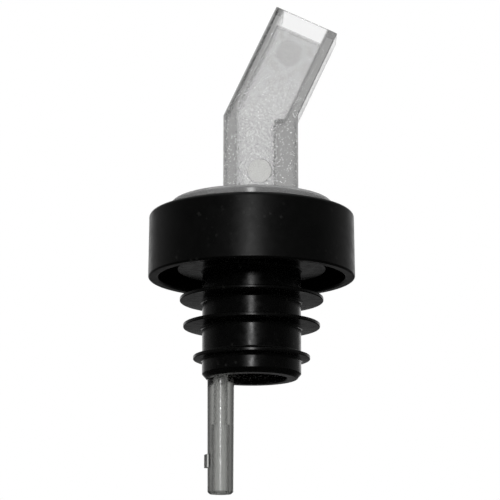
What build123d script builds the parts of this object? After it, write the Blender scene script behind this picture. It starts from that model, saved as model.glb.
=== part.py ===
from build123d import *
import math
import os

# Liquor pour spout with a three-ball measuring cage, in millimetres.
# The origin is the centre of the bottle-lip seat, the underside of the collar's web. +Z is up, out of
# the bottle, along the axis of the plug, and the spout leans towards +X.

# Moulded edges are eased by one of these radii where no other is named.
SHARP_EDGE_R = 0.15
SOFT_EDGE_R = 0.6

# Collar: a cup that hangs over the bottle's lip, with a flat web across its top. The plug sleeve's end
# stands in a shallow sink in the web's underside.
COLLAR_R = 17.45
COLLAR_TOP_R = 17.35
COLLAR_HEIGHT = 10.95
COLLAR_RIM_R = 0.35
WEB = 2.0
SKIRT_BORE_R = 15.75
SKIRT_ROOT_R = 0.8
SINK = 0.6
SINK_GAP = 0.3

# Spout body: the stem that runs down inside the plug, the flange on the collar and the bent spout.
STEM_R = 7.4
STEM_BORE_R = 6.2
STEM_BOTTOM_Z = -25.2
FLANGE_R = 13.9
FLANGE_FOOT_R = 13.7
FLANGE = 2.1
SPOUT_LEFT_X = -4.8
SPOUT_WIDTH = 12.7
SPOUT_DEPTH = 6.6
SPOUT_EDGE_R = 0.4
BEND_Z = 18.85
TILT = 25.0
LEFT_RUN = 21.45
MOUTH_WALL_LEFT = 1.4
MOUTH_WALL_RIGHT = 1.8
MOUTH_NOTCH = 1.25
LIP_WALL = 0.5
LIP = 3.0
CHANNEL_LEFT_X = -2.4
CHANNEL_RIGHT_X = 4.1
CHANNEL_DEPTH = 4.2
CHANNEL_CORNER_R = 0.4
SHELF_Z = 18.2
MARK_DEPTH = 0.1
MARKS = [(1.36, 9.1, 2.1), (6.4, 29.85, 2.25)]

# Plug sleeve: a soft ribbed cork on the stem, with a lip that closes over the stem's lower end.
CORK_R = 8.3
CORK_LIP = 0.8
CORK_LIP_R = 7.6
CORK_LIP_EDGE_R = 0.3
CORK_MOUTH_R = 5.9
FINS = [(-7.1, 12.55), (-12.54, 12.1), (-17.02, 11.5), (-22.45, 9.8)]
FIN_RIM = 0.6
FIN_ROOT = 1.0
FIN_ROOT_R = 0.4
BOSS_GAP = 0.05

# Vent: a passage down the stem and a tube into the bottle, which lets air in as liquor runs out.
VENT_X = -5.15
VENT_R = 2.24
VENT_END_R = 2.14
VENT_BORE_R = 0.8
VENT_WIDE_BORE_R = 1.05
VENT_STEP_Z = -33.7
VENT_BOTTOM_Z = -45.1
VENT_CHAMFER = 0.35
SPIGOT_R = 1.7
SPIGOT = 5.0
BOSS_BORE_R = 0.9
BREATHER_R = 0.65
BREATHER_X = -5.8
NUB_Z = -39.75
NUB_SIZE = (1.3, 1.6, 2.2)
NUB_PROUD = 0.45
NUB_TURN = 20.0

# Timing cage: a tube under the outlet in which three steel balls ride, with slots that let liquor in.
CAGE_X = 0.85
CAGE_R = 3.7
CAGE_BORE_R = 2.95
CAGE_BOTTOM_Z = -23.4
SEAT = 1.0
SEAT_R = 2.2
SLOT_COUNT = 4
SLOT_TURN = 45.0
SLOT_WIDTH = 2.4
SLOT_HEIGHT = 3.0
SLOT_TOP_Z = -1.6
CAGE_RING_R = 4.7
CAGE_RING = 3.0
CAP = 0.8
CAP_PLUG = 1.2
BLEED_R = 0.6
BALL_R = 25.4 * 7 / 32 / 2
BALL_GAP = 0.02

OVERRUN = 1.0

WEB_TOP_Z = WEB
FLANGE_TOP_Z = WEB + FLANGE
SPOUT_RIGHT_X = SPOUT_LEFT_X + SPOUT_WIDTH
TIP_WIDTH = SPOUT_WIDTH * math.cos(math.radians(TILT))
ALONG = Vector(math.sin(math.radians(TILT)), math.cos(math.radians(TILT)))
ACROSS = Vector(math.cos(math.radians(TILT)), -math.sin(math.radians(TILT)))
MOUTH_WIDTH = TIP_WIDTH - MOUTH_WALL_LEFT - MOUTH_WALL_RIGHT


def outline(corners):
    """A closed outline in the XZ plane. A corner is (x, z), or (x, z, radius) where it is rounded."""
    face = make_face(Polyline(*[corner[:2] for corner in corners], close=True))
    for corner in corners:
        if len(corner) == 3:
            vertex = face.vertices().sort_by_distance(corner[:2])[0]
            face = fillet(vertex, corner[2])
    return Plane.XZ * face


def turned(corners):
    """A solid turned about Z from corners given as radius and height."""
    return revolve(outline(corners), Axis.Z)


def slab(corners, depth):
    """A plate with this outline in XZ, centred on the plane Y = 0."""
    return extrude(outline(corners), amount=depth / 2, both=True)


def rod(x, radius, low, high):
    """An upright cylinder on the line Y = 0."""
    return Pos(x, 0, low) * Cylinder(radius, high - low, align=(Align.CENTER, Align.CENTER, Align.MIN))


def collar():
    bottom = WEB - COLLAR_HEIGHT
    sink_r = CORK_R + SINK_GAP
    return turned(
        [
            (STEM_R, SINK),
            (STEM_R, WEB, SHARP_EDGE_R),
            (COLLAR_TOP_R, WEB, SOFT_EDGE_R),
            (COLLAR_R, bottom, COLLAR_RIM_R),
            (SKIRT_BORE_R, bottom, COLLAR_RIM_R),
            (SKIRT_BORE_R, 0, SKIRT_ROOT_R),
            (sink_r, 0, SHARP_EDGE_R),
            (sink_r, SINK),
        ]
    )


def spout_outline():
    """The bent outer outline, from inside the flange to the square-cut tip."""
    bend_left = Vector(SPOUT_LEFT_X, BEND_Z)
    tip_left = bend_left + ALONG * LEFT_RUN
    tip_right = tip_left + ACROSS * TIP_WIDTH
    foot = WEB_TOP_Z + FLANGE / 2
    return [
        (SPOUT_LEFT_X, foot),
        (SPOUT_LEFT_X, BEND_Z),
        (tip_left.X, tip_left.Y),
        (tip_right.X, tip_right.Y),
        (SPOUT_RIGHT_X, BEND_Z),
        (SPOUT_RIGHT_X, foot),
    ]


def leaning_strip(start, end):
    """The passage's part of the leaning run, between these distances from the bend along its left."""
    bend_left = Vector(SPOUT_LEFT_X, BEND_Z)
    near, far = MOUTH_WALL_LEFT, MOUTH_WALL_LEFT + MOUTH_WIDTH
    corners = [(near, start), (near, end), (far, end), (far, start)]
    points = [bend_left + ACROSS * across + ALONG * along for across, along in corners]
    return [(point.X, point.Y) for point in points]


def spout_shell():
    """The bent rectangular spout with its long edges eased and its tip cut square."""
    solid = slab(spout_outline(), SPOUT_DEPTH)
    faces = solid.faces().sort_by(Axis.Y)
    tip = solid.faces().sort_by(Axis.Z)[-1]
    edges = faces[0].edges() + faces[-1].edges() - tip.edges()
    return fillet(edges, SPOUT_EDGE_R)


def channel():
    """The passage through the spout: an upright run from the stem and a leaning run to the mouth."""
    upright = slab(
        [
            (CHANNEL_LEFT_X, WEB_TOP_Z),
            (CHANNEL_LEFT_X, SHELF_Z + OVERRUN),
            (CHANNEL_RIGHT_X, SHELF_Z + OVERRUN),
            (CHANNEL_RIGHT_X, WEB_TOP_Z),
        ],
        CHANNEL_DEPTH,
    )
    right_corners = upright.edges().filter_by(Axis.Z).group_by(Axis.X)[-1]
    upright = fillet(right_corners, CHANNEL_CORNER_R)
    reach = 4 * SPOUT_WIDTH
    leaning = slab(leaning_strip(-LEFT_RUN, LEFT_RUN + OVERRUN), CHANNEL_DEPTH)
    above_shelf = Pos(CHANNEL_LEFT_X, 0, SHELF_Z) * Box(
        reach, SPOUT_DEPTH, reach, align=(Align.MIN, Align.CENTER, Align.MIN)
    )
    return upright + (leaning & above_shelf)


def mouth_notch():
    """The back wall stops short of the tip, so that the last of the pour leaves cleanly."""
    strip = leaning_strip(LEFT_RUN - MOUTH_NOTCH, LEFT_RUN + OVERRUN)
    return Pos(0, SPOUT_DEPTH / 2, 0) * slab(strip, SPOUT_DEPTH)


def lip_recess():
    """The front wall is thinner at the lip, from the inside."""
    strip = leaning_strip(LEFT_RUN - LIP, LEFT_RUN + OVERRUN)
    depth = SPOUT_DEPTH / 2 - LIP_WALL
    return Pos(0, -depth / 2, 0) * slab(strip, depth)


def ejector_mark(x, z, radius):
    """A shallow round recess in the spout's front face."""
    front = -SPOUT_DEPTH / 2
    disc = Cylinder(radius, 2 * MARK_DEPTH, rotation=(90, 0, 0))
    return Pos(x, front, z) * disc


def spout_body():
    stem = turned(
        [
            (STEM_BORE_R, STEM_BOTTOM_Z, SHARP_EDGE_R),
            (STEM_R, STEM_BOTTOM_Z, SHARP_EDGE_R),
            (STEM_R, WEB_TOP_Z),
            (FLANGE_FOOT_R, WEB_TOP_Z, SHARP_EDGE_R),
            (FLANGE_R, FLANGE_TOP_Z, SOFT_EDGE_R),
            (0, FLANGE_TOP_Z),
            (0, WEB_TOP_Z),
            (STEM_BORE_R, WEB_TOP_Z),
        ]
    )
    boss = rod(VENT_X, VENT_R, STEM_BOTTOM_Z, WEB_TOP_Z)
    ring = rod(CAGE_X, CAGE_RING_R, WEB_TOP_Z - CAGE_RING, WEB_TOP_Z)
    body = stem + boss + ring + spout_shell()
    body -= rod(CAGE_X, CAGE_R, WEB_TOP_Z - CAGE_RING - OVERRUN, WEB_TOP_Z) + channel()
    body -= mouth_notch()
    body -= lip_recess()
    socket_top = STEM_BOTTOM_Z + SPIGOT
    body -= rod(VENT_X, SPIGOT_R, STEM_BOTTOM_Z - OVERRUN, socket_top)
    body -= rod(VENT_X, BOSS_BORE_R, socket_top - OVERRUN, WEB_TOP_Z)
    body -= rod(BREATHER_X, BREATHER_R, WEB_TOP_Z - OVERRUN, FLANGE_TOP_Z + OVERRUN)
    for x, z, radius in MARKS:
        body -= ejector_mark(x, z, radius)
    return body


def cork_sleeve():
    bottom = STEM_BOTTOM_Z - CORK_LIP
    corners = [(STEM_R, SINK), (CORK_R, SINK)]
    for height, radius in FINS:
        corners += [
            (CORK_R, height + FIN_ROOT / 2, FIN_ROOT_R),
            (radius, height + FIN_RIM / 2, SHARP_EDGE_R),
            (radius, height - FIN_RIM / 2, SHARP_EDGE_R),
            (CORK_R, height - FIN_ROOT / 2, FIN_ROOT_R),
        ]
    corners += [
        (CORK_R, STEM_BOTTOM_Z, SHARP_EDGE_R),
        (CORK_LIP_R, bottom, CORK_LIP_EDGE_R),
        (CORK_MOUTH_R, bottom, CORK_LIP_EDGE_R),
        (CORK_MOUTH_R, STEM_BOTTOM_Z),
        (STEM_R, STEM_BOTTOM_Z),
    ]
    lobe = rod(VENT_X, VENT_R + BOSS_GAP, bottom - OVERRUN, STEM_BOTTOM_Z)
    return turned(corners) - lobe


def vent_tube():
    barrel = turned(
        [
            (0, STEM_BOTTOM_Z),
            (VENT_R, STEM_BOTTOM_Z, SHARP_EDGE_R),
            (VENT_END_R, VENT_BOTTOM_Z + VENT_CHAMFER),
            (VENT_END_R - VENT_CHAMFER, VENT_BOTTOM_Z),
            (0, VENT_BOTTOM_Z),
        ]
    )
    spigot = rod(0, SPIGOT_R, STEM_BOTTOM_Z - OVERRUN, STEM_BOTTOM_Z + SPIGOT)
    width, depth, height = NUB_SIZE
    nub = Pos(-VENT_END_R - NUB_PROUD + width / 2, 0, NUB_Z) * Box(width, depth, height)
    tube = barrel + spigot + Rot(0, 0, NUB_TURN) * nub
    tube -= rod(0, VENT_BORE_R, VENT_STEP_Z - OVERRUN, STEM_BOTTOM_Z + SPIGOT + OVERRUN)
    tube -= rod(0, VENT_WIDE_BORE_R, VENT_BOTTOM_Z - OVERRUN, VENT_STEP_Z)
    return Pos(VENT_X, 0, 0) * tube


def timing_cage():
    tube = turned(
        [
            (SEAT_R, WEB_TOP_Z - SEAT),
            (SEAT_R, WEB_TOP_Z),
            (CAGE_R, WEB_TOP_Z, SHARP_EDGE_R),
            (CAGE_R, CAGE_BOTTOM_Z),
            (CAGE_BORE_R, CAGE_BOTTOM_Z),
            (CAGE_BORE_R, WEB_TOP_Z - SEAT),
        ]
    )
    slot = Pos(CAGE_R, 0, SLOT_TOP_Z - SLOT_HEIGHT / 2) * Box(CAGE_R, SLOT_WIDTH, SLOT_HEIGHT)
    for number in range(SLOT_COUNT):
        tube -= Rot(0, 0, SLOT_TURN + number * 360 / SLOT_COUNT) * slot
    return Pos(CAGE_X, 0, 0) * tube


def cage_cap():
    plug = rod(CAGE_X, CAGE_BORE_R, CAGE_BOTTOM_Z, CAGE_BOTTOM_Z + CAP_PLUG)
    disc = rod(CAGE_X, CAGE_R, CAGE_BOTTOM_Z - CAP, CAGE_BOTTOM_Z)
    bleed = rod(CAGE_X, BLEED_R, CAGE_BOTTOM_Z - CAP - OVERRUN, CAGE_BOTTOM_Z + CAP_PLUG + OVERRUN)
    return plug + disc - bleed


def balls():
    """The three balls, stacked on the cap as they lie when the spout is upright."""
    floor = CAGE_BOTTOM_Z + CAP_PLUG
    names = ["ball_lower", "ball_middle", "ball_upper"]
    stack = {}
    for number, name in enumerate(names):
        centre = floor + BALL_GAP + BALL_R + number * (2 * BALL_R + BALL_GAP)
        stack[name] = Pos(CAGE_X, 0, centre) * Sphere(BALL_R)
    seated = WEB_TOP_Z - SEAT - math.sqrt(BALL_R**2 - SEAT_R**2)
    print(f"the upper ball may rise {seated - centre:.3f} mm before it meets its seat")
    return stack


nodes = {
    "collar": collar(),
    "spout_body": spout_body(),
    "cork_sleeve": cork_sleeve(),
    "vent_tube": vent_tube(),
    "timing_cage": timing_cage(),
    "cage_cap": cage_cap(),
    **balls(),
}
os.makedirs("parts", exist_ok=True)
for node, shape in nodes.items():
    export_step(shape, f"parts/{node}.step")
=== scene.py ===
import math

import bpy
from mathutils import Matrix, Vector

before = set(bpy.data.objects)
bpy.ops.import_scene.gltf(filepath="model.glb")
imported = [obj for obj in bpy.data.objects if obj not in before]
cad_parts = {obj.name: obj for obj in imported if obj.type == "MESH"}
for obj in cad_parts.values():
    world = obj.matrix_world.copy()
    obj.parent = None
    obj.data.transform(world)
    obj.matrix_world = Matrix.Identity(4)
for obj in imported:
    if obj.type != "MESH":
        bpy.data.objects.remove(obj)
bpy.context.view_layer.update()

# The liquor pour spout hangs in a white studio, with a small softbox low in front, a white backdrop
# behind and a dim room round it. Lengths are in metres, and sizes of texture detail in millimetres.
MM = 0.001
RIGHT = Vector((1.0, 0.0, 0.0))
BACK = Vector((0.0, 1.0, 0.0))
UP = Vector((0.0, 0.0, 1.0))

CAMERA_LENS_MM = 140.4
CAMERA_SENSOR_MM = 36.0
CAMERA_NEAR = 0.01
CAMERA_FAR = 20.0
CAMERA_DISTANCE = 0.330
CAMERA_RISE = math.radians(12.5)
CAMERA_AIM = Vector((-0.00027, 0.0, -0.00394))

FLOOR_Z = -0.25
FLOOR_SIZE = 6.0

# The spout's front face, as in the CAD: where its leaning run starts and how far it leans, the sides
# of the passage inside it, and the two round ejector marks as x, z and radius.
TILT = math.radians(25.0)
BEND = Vector((-4.8, 0.0, 18.85)) * MM
ALONG = Vector((math.sin(TILT), 0.0, math.cos(TILT)))
ACROSS = Vector((math.cos(TILT), 0.0, -math.sin(TILT)))
SHELF_Z = 18.2 * MM
FLANGE_TOP_Z = 4.1 * MM
UPRIGHT_PASSAGE = (-2.4 * MM, 4.1 * MM)
LEANING_PASSAGE = (1.4 * MM, 9.7 * MM)
LIP_START = 18.45 * MM
TIP = 21.45 * MM
FRONT_Y = -3.3 * MM
LOWER_MARK = (1.36 * MM, 9.1 * MM, 2.1 * MM)
UPPER_MARK = (6.4 * MM, 29.85 * MM, 2.25 * MM)

# Where the air tube and the ball cage stand, and how thick they are.
VENT_X = -5.15 * MM
VENT_R = 2.2 * MM
CAGE_X = 0.85 * MM
CAGE_R = 3.7 * MM

PLASTIC_IOR = 1.49

# Tints of the clear plastic, which light takes on where it goes through a surface.
COLOURLESS = (1.0, 1.0, 1.0, 1)
WAVE_TINTS = ((0.42, 0.42, 0.41, 1), (0.50, 0.50, 0.51, 1))
MOTTLE_TINTS = ((0.47, 0.47, 0.47, 1), (0.66, 0.66, 0.66, 1))
LOWER_MARK_TINT = (0.52, 0.52, 0.50, 1)
UPPER_MARK_TINT = (0.39, 0.39, 0.385, 1)
# Painted shade: the front face is darkened where it lies over the thick solid side walls.
SIDE_WALL_PAINTED_SHADE = (0.19, 0.19, 0.188, 1)
PLAIN_TINT = (0.84, 0.84, 0.84, 1)
STEM_TINT = (0.35, 0.35, 0.35, 1)


# Helpers -----------------------------------------------------------------------------------------


class Tree:
    """A node tree that is built one node at a time."""

    def __init__(self, owner):
        owner.use_nodes = True
        self.tree = owner.node_tree
        self.nodes = self.tree.nodes

    def add(self, kind, sockets=None, **settings):
        """A node with its settings. Each socket, by name or number, is set, or linked to an output."""
        node = self.nodes.new(kind)
        for name, value in settings.items():
            setattr(node, name, value)
        for name, value in (sockets or {}).items():
            self.put(node, name, value)
        return node

    def put(self, node, name, value):
        if isinstance(value, bpy.types.NodeSocket):
            self.tree.links.new(value, node.inputs[name])
        else:
            node.inputs[name].default_value = value

    def math(self, operation, *values):
        sockets = dict(enumerate(values))
        return self.add("ShaderNodeMath", sockets, operation=operation).outputs[0]

    def product(self, first, *others):
        for other in others:
            first = self.math("MULTIPLY", first, other)
        return first

    def most(self, first, *others):
        for other in others:
            first = self.math("MAXIMUM", first, other)
        return first

    def opposite(self, share):
        return self.math("SUBTRACT", 1.0, share)

    def ramp(self, value, low, high, start=0.0, end=1.0):
        """Start below low and end above high, with a smooth step between."""
        sockets = {"Value": value, "From Min": low, "From Max": high, "To Min": start, "To Max": end}
        node = self.add("ShaderNodeMapRange", sockets, interpolation_type="SMOOTHSTEP")
        return node.outputs["Result"]

    def mix(self, share, first, second):
        """One number turning into another as share goes from 0 to 1."""
        return self.add("ShaderNodeMix", {0: share, 2: first, 3: second}).outputs[0]

    def blend(self, share, first, second):
        """One colour turning into another as share goes from 0 to 1."""
        sockets = {0: share, 6: first, 7: second}
        return self.add("ShaderNodeMix", sockets, data_type="RGBA").outputs[2]

    def place(self):
        return self.add("ShaderNodeTexCoord").outputs["Object"]

    def skewed_place(self):
        """Places turned at odd angles, so that no grain lines up with the part's faces."""
        sockets = {"Vector": self.place(), "Rotation": (0.5, 0.7, 0.3)}
        return self.add("ShaderNodeMapping", sockets).outputs["Vector"]

    def axes(self, vector):
        outputs = self.add("ShaderNodeSeparateXYZ", {0: vector}).outputs
        return outputs["X"], outputs["Y"], outputs["Z"]

    def along(self, direction, start):
        """How far a point of the object is from start in this direction."""
        away = self.add("ShaderNodeVectorMath", {0: self.place(), 1: start}, operation="SUBTRACT")
        sockets = {0: away.outputs[0], 1: direction}
        return self.add("ShaderNodeVectorMath", sockets, operation="DOT_PRODUCT").outputs["Value"]

    def off_line(self, point, *directions):
        """How far a place on the object is from the line through point, square to both directions."""
        squares = [self.math("POWER", self.along(way, point), 2.0) for way in directions]
        return self.math("SQRT", self.math("ADD", *squares))

    def noise(self, size_mm, detail=2.0):
        """Soft noise with features of about this size."""
        sockets = {"Vector": self.skewed_place(), "Scale": 1 / (size_mm * MM), "Detail": detail}
        return self.add("ShaderNodeTexNoise", sockets).outputs["Fac"]

    def dust_specks_and_painted_glints(self, spacing_mm, cluster_mm):
        """Sharp round dots about this far apart, in loose clusters: dust on the black mouldings, and
        painted glints on the clear plastic.
        """
        cells = {"Vector": self.skewed_place(), "Scale": 1 / (spacing_mm * MM)}
        distance = self.add("ShaderNodeTexVoronoi", cells).outputs["Distance"]
        dots = self.ramp(distance, 0.18, 0.28, 1.0, 0.0)
        return self.product(dots, self.ramp(self.noise(cluster_mm), 0.42, 0.56))

    def bump(self, height, depth_mm, normal=None):
        """A surface raised by height, which runs from 0 to 1, times the depth."""
        sockets = {"Height": height, "Distance": depth_mm * MM, "Strength": 1.0}
        if normal is not None:
            sockets["Normal"] = normal
        return self.add("ShaderNodeBump", sockets).outputs["Normal"]


class Material(Tree):
    """A material that starts as Blender's Principled shader."""

    def __init__(self, name):
        self.data = bpy.data.materials.new(name)
        super().__init__(self.data)
        self.shader = self.nodes["Principled BSDF"]
        self.output = self.nodes["Material Output"]

    def set(self, **values):
        for name, value in values.items():
            self.put(self.shader, name.replace("_", " "), value)

    def absorb(self, colour, density):
        """Fill the solid with something that dims light the further it goes."""
        volume = self.add("ShaderNodeVolumeAbsorption", {"Color": colour, "Density": density})
        self.put(self.output, "Volume", volume.outputs[0])


def give(node, finish):
    """Put a finish on every slot of a CAD node."""
    for slot in bpy.data.objects[node].material_slots:
        slot.material = finish.data


# Black mouldings ---------------------------------------------------------------------------------


def black_moulding(name, patch_mm, roughness):
    """Semi-gloss black, with a faint orange peel, fine grain and a few specks of dust."""
    finish = Material(name)
    blacks = ((0.0008, 0.0009, 0.0008, 1), (0.0020, 0.0021, 0.0019, 1))
    black = finish.blend(finish.noise(patch_mm), *blacks)
    dusty = finish.ramp(finish.noise(6.0), 0.45, 0.6, 0.0, 0.4)
    dust = finish.product(finish.dust_specks_and_painted_glints(1.1, 3.5), dusty)
    finish.set(Base_Color=finish.blend(dust, black, (0.025, 0.025, 0.024, 1)), IOR=1.5)
    finish.set(Roughness=finish.ramp(finish.noise(0.4 * patch_mm, 4.0), 0.3, 0.7, *roughness))
    peel = finish.bump(finish.noise(0.6 * patch_mm), 0.01)
    finish.set(Normal=finish.bump(finish.noise(0.27, 3.0), 0.003, peel))
    return finish


# Clear plastic -----------------------------------------------------------------------------------


def over_walls(finish, x):
    """1 on the spout's front where it lies over the solid side walls, and 0 over the passage."""
    across, blur = finish.along(ACROSS, BEND), 0.3 * MM
    (left, right), (left_above, right_above) = UPRIGHT_PASSAGE, LEANING_PASSAGE
    on_left = finish.ramp(x, left - blur, left + blur, 1.0, 0.0)
    on_left_above = finish.ramp(across, left_above - blur, left_above + 2 * blur, 1.0, 0.0)
    on_right = finish.ramp(x, right - blur, right + blur)
    on_right_above = finish.ramp(across, right_above - blur, right_above + blur)
    above = finish.math("GREATER_THAN", finish.along(UP, SHELF_Z * UP), 0.0)
    return finish.most(on_left, on_left_above, finish.mix(above, on_right, on_right_above))


def on_mark(finish, mark, start, end):
    """1 inside a round mark, fading out between these shares of its radius."""
    x, z, radius = mark
    away = finish.off_line(Vector((x, 0.0, z)), RIGHT, UP)
    return finish.ramp(finish.math("DIVIDE", away, radius), start, end, 1.0, 0.0)


def on_lip(finish):
    """1 on the clear strip at the spout's mouth, with a thin line of painted shade along its tip."""
    along = finish.along(ALONG, BEND)
    strip = finish.ramp(along, LIP_START - 0.4 * MM, LIP_START + 0.2 * MM)
    # Painted shade: a thin dark line just before the tip, where the strip gives way to the darker front
    # tint.
    painted_tip_shade_line = finish.ramp(along, TIP - 0.25 * MM, TIP - 0.15 * MM, 0.0, 0.8)
    return finish.math("SUBTRACT", strip, painted_tip_shade_line)


def front_tint(finish, x, z, lower_mark, upper_mark, lip, dust_specks_and_painted_glints):
    """The front face: mottled low down, wavy high up, with painted shade over the side walls and painted
    glints as bright specks.
    """
    waves = finish.blend(finish.ramp(finish.noise(1.3, 3.0), 0.35, 0.65), *WAVE_TINTS)
    mottle = finish.blend(finish.ramp(finish.noise(0.34, 1.0), 0.48, 0.66), *MOTTLE_TINTS)
    tint = finish.blend(finish.ramp(z, 16.0 * MM, 30.0 * MM), mottle, waves)
    tint = finish.blend(lower_mark, tint, LOWER_MARK_TINT)
    tint = finish.blend(upper_mark, tint, UPPER_MARK_TINT)
    tint = finish.blend(lip, tint, COLOURLESS)
    # Painted shade over the solid side walls.
    tint = finish.blend(over_walls(finish, x), tint, SIDE_WALL_PAINTED_SHADE)
    # Painted glints: the dots turn colourless, so they show brighter than the tinted face round them.
    return finish.blend(dust_specks_and_painted_glints, tint, COLOURLESS)


def other_tint(finish, y, z, off_flange):
    """The other faces: colourless on the front and back walls, and darker elsewhere."""
    tint = finish.blend(finish.ramp(z, 0.0, 1.5 * MM), STEM_TINT, PLAIN_TINT)
    off_middle = finish.ramp(finish.math("ABSOLUTE", y), 1.9 * MM, 2.0 * MM)
    return finish.blend(finish.product(off_middle, off_flange), tint, COLOURLESS)


def clear_plastic():
    """See-through moulding: frosted on the spout's front, where it sparkles partly from its bumps and
    partly from painted glints, and clear at its lip.
    """
    finish = Material("clear_plastic_finish")
    x, y, z = finish.axes(finish.place())
    off_flange = finish.ramp(z, FLANGE_TOP_Z, FLANGE_TOP_Z + 0.2 * MM)
    front = finish.product(finish.ramp(y, FRONT_Y + 0.4 * MM, FRONT_Y + 0.1 * MM), off_flange)
    lower_mark = on_mark(finish, LOWER_MARK, 0.93, 1.0)
    upper_mark = on_mark(finish, UPPER_MARK, 0.8, 1.1)
    lip = on_lip(finish)
    not_smooth = finish.opposite(finish.most(lower_mark, upper_mark, lip))
    frost = finish.product(finish.ramp(z, 17.0 * MM, 27.0 * MM, 1.0, 0.35), not_smooth)
    # Painted glints: bright dots on the frosted front, standing in for light caught by its grain.
    dust_specks_and_painted_glints = finish.product(finish.dust_specks_and_painted_glints(0.36, 1.6), frost)
    on_front = front_tint(finish, x, z, lower_mark, upper_mark, lip, dust_specks_and_painted_glints)
    finish.set(Base_Color=finish.blend(front, other_tint(finish, y, z, off_flange), on_front))
    flange = finish.product(finish.ramp(z, 1.6 * MM, 2.0 * MM), finish.opposite(off_flange))
    finish.set(Transmission_Weight=finish.ramp(flange, 0.0, 1.0, 0.97, 0.75), IOR=PLASTIC_IOR)
    finish.set(Roughness=finish.ramp(off_flange, 0.0, 1.0, 0.21, 0.06))
    grain = finish.product(finish.noise(0.26), frost, off_flange)
    finish.set(Normal=finish.bump(grain, 0.16))
    finish.absorb((0.80, 0.801, 0.797, 1), 100.0)
    return finish


# Air tube, ball cage and balls -------------------------------------------------------------------


def tube_plastic(name, centre_x, outer_r):
    """Translucent moulding of an upright tube: rougher inside, with painted shade darkening its outside
    where it is seen edge on.
    """
    finish = Material(name)
    off_axis = finish.off_line(centre_x * RIGHT, RIGHT, BACK)
    bore = finish.ramp(off_axis, outer_r - 0.7 * MM, outer_r - 0.4 * MM, 1.0, 0.0)
    facing = finish.add("ShaderNodeLayerWeight", {"Blend": 0.5}).outputs["Facing"]
    # Painted shade: the outside darkens by how edge on it faces the camera.
    edge = finish.product(finish.ramp(facing, 0.05, 0.22), finish.opposite(bore))
    light = finish.blend(finish.noise(2.0), (0.74, 0.74, 0.73, 1), (0.65, 0.66, 0.65, 1))
    # The edge-on outside is painted in a darker shade.
    finish.set(Base_Color=finish.blend(edge, light, (0.27, 0.27, 0.265, 1)))
    finish.set(Transmission_Weight=0.95, IOR=PLASTIC_IOR)
    grain = finish.noise(0.4)
    haze = finish.ramp(grain, 0.3, 0.7, 0.12, 0.22)
    finish.set(Roughness=finish.math("ADD", haze, finish.product(bore, 0.4)))
    finish.set(Normal=finish.bump(grain, 0.02))
    finish.absorb((0.80, 0.802, 0.79, 1), 500.0)
    return finish


def steel():
    """Polished steel with fine marks from tumbling."""
    finish = Material("steel_finish")
    finish.set(Base_Color=(0.62, 0.62, 0.63, 1), Metallic=1.0)
    finish.set(Roughness=finish.ramp(finish.noise(0.8, 5.0), 0.3, 0.7, 0.10, 0.2))
    finish.set(Normal=finish.bump(finish.noise(0.15, 3.0), 0.0015))
    return finish


# Studio ------------------------------------------------------------------------------------------


def make_camera():
    """A long lens in front of the object and a little below it, looking up."""
    data = bpy.data.cameras.new("camera")
    data.lens = CAMERA_LENS_MM
    data.sensor_width = CAMERA_SENSOR_MM
    data.clip_start = CAMERA_NEAR
    data.clip_end = CAMERA_FAR
    camera = bpy.data.objects.new("camera", data)
    bpy.context.scene.collection.objects.link(camera)
    line = Vector((0.0, math.cos(CAMERA_RISE), math.sin(CAMERA_RISE)))
    camera.location = CAMERA_AIM - line * CAMERA_DISTANCE
    camera.rotation_euler = (math.radians(90.0) + CAMERA_RISE, 0.0, 0.0)
    bpy.context.scene.camera = camera


def mirrored_room(world, y, z):
    """What gloss mirrors: a dim room with a white backdrop, a dark floor and a faint ceiling."""
    edge, middle = math.cos(math.radians(42)), math.cos(math.radians(18))
    backdrop = world.ramp(y, edge, middle, 0.0, 0.8)
    spill = world.ramp(y, -0.2, 0.9, 0.03, 0.2)
    off_floor = world.ramp(z, -0.06, 0.06, 0.11, 1.0)
    ceiling = world.ramp(z, 0.45, 0.9, 0.0, 0.3)
    return world.math("ADD", world.product(world.math("ADD", backdrop, spill), off_floor), ceiling)


def room_through_plastic(world, x, y, z, turned_back):
    """What clear plastic shows: a white backdrop, darker sides that outline it, and a pale floor.

    Turned_back is 1 for light that was mirrored on its way, which finds the room a little dimmer.
    """
    aside = world.ramp(world.math("ABSOLUTE", x), 0.40, 0.85, 1.0, 0.38)
    ahead = world.ramp(y, -0.4, 0.3, 0.45, 1.0)
    floor = world.ramp(z, -0.15, -0.05, 0.9, 0.0)
    room = world.most(world.product(aside, ahead), floor)
    return world.product(room, world.ramp(turned_back, 0.0, 1.0, 1.0, 0.8))


def make_world():
    """White to the camera and to matt surfaces, with one room for gloss and one for clear plastic."""
    data = bpy.data.worlds.new("studio")
    bpy.context.scene.world = data
    world = Tree(data)
    x, y, z = world.axes(world.add("ShaderNodeTexCoord").outputs["Generated"])
    ray = world.add("ShaderNodeLightPath").outputs
    turned_back = world.math("MINIMUM", ray["Glossy Depth"], 1.0)
    plain = world.most(ray["Is Camera Ray"], ray["Is Diffuse Ray"])
    level = world.mix(plain, room_through_plastic(world, x, y, z, turned_back), 1.0)
    # A ray that has gone through frosted plastic counts as glossy too, and isn't a mirrored one.
    mirrored = world.math("SUBTRACT", ray["Is Glossy Ray"], ray["Is Transmission Ray"])
    level = world.mix(mirrored, level, mirrored_room(world, y, z))
    world.put(world.nodes["Background"], "Strength", level)
    world.put(world.nodes["Background"], "Color", (1, 1, 1, 1))


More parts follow.
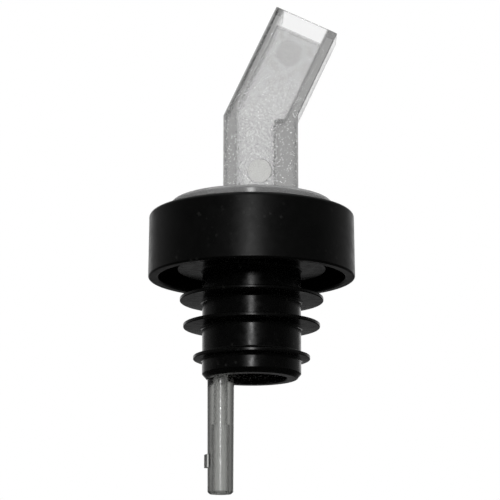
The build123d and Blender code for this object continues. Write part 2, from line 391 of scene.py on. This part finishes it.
def softbox(name, azimuth, elevation, distance, width, height, radiance):
    """A rectangular light facing the object. Azimuth 0 is in front, towards -Y, and 90 is towards +X."""
    data = bpy.data.lights.new(name, "AREA")
    data.shape = "RECTANGLE"
    data.size = width
    data.size_y = height
    data.energy = radiance * math.pi * width * height
    lamp = bpy.data.objects.new(name, data)
    bpy.context.scene.collection.objects.link(lamp)
    turn, lift = math.radians(azimuth), math.radians(elevation)
    flat = math.cos(lift)
    towards = Vector((math.sin(turn) * flat, -math.cos(turn) * flat, math.sin(lift)))
    lamp.location = towards * distance
    lamp.rotation_euler = towards.to_track_quat("Z", "Y").to_euler()
    lamp.visible_camera = False
    lamp.visible_transmission = False


def make_floor():
    """A plain pale floor well below the object, which gloss and clear plastic leave out."""
    mesh = bpy.data.meshes.new("floor")
    half = FLOOR_SIZE / 2
    corners = [(x, y, FLOOR_Z) for x, y in ((-half, -half), (half, -half), (half, half), (-half, half))]
    mesh.from_pydata(corners, [], [(0, 1, 2, 3)])
    floor = bpy.data.objects.new("floor", mesh)
    bpy.context.scene.collection.objects.link(floor)
    paint = Material("floor_paint")
    paint.set(Base_Color=(0.82, 0.82, 0.81, 1), Roughness=0.6)
    mesh.materials.append(paint.data)
    floor.visible_glossy = False
    floor.visible_transmission = False


make_camera()
make_world()
make_floor()
softbox("key_light", azimuth=-1, elevation=4, distance=0.5, width=0.052, height=0.052, radiance=28.0)

give("collar", black_moulding("black_plastic_finish", patch_mm=4.0, roughness=(0.31, 0.39)))
give("cork_sleeve", black_moulding("black_cork_finish", patch_mm=3.0, roughness=(0.19, 0.31)))
give("spout_body", clear_plastic())
give("vent_tube", tube_plastic("vent_plastic_finish", VENT_X, VENT_R))
cage_finish = tube_plastic("cage_plastic_finish", CAGE_X, CAGE_R)
for node in ("timing_cage", "cage_cap"):
    give(node, cage_finish)
steel_finish = steel()
for node in ("ball_lower", "ball_middle", "ball_upper"):
    give(node, steel_finish)

bpy.context.scene.view_settings.view_transform = "Standard"
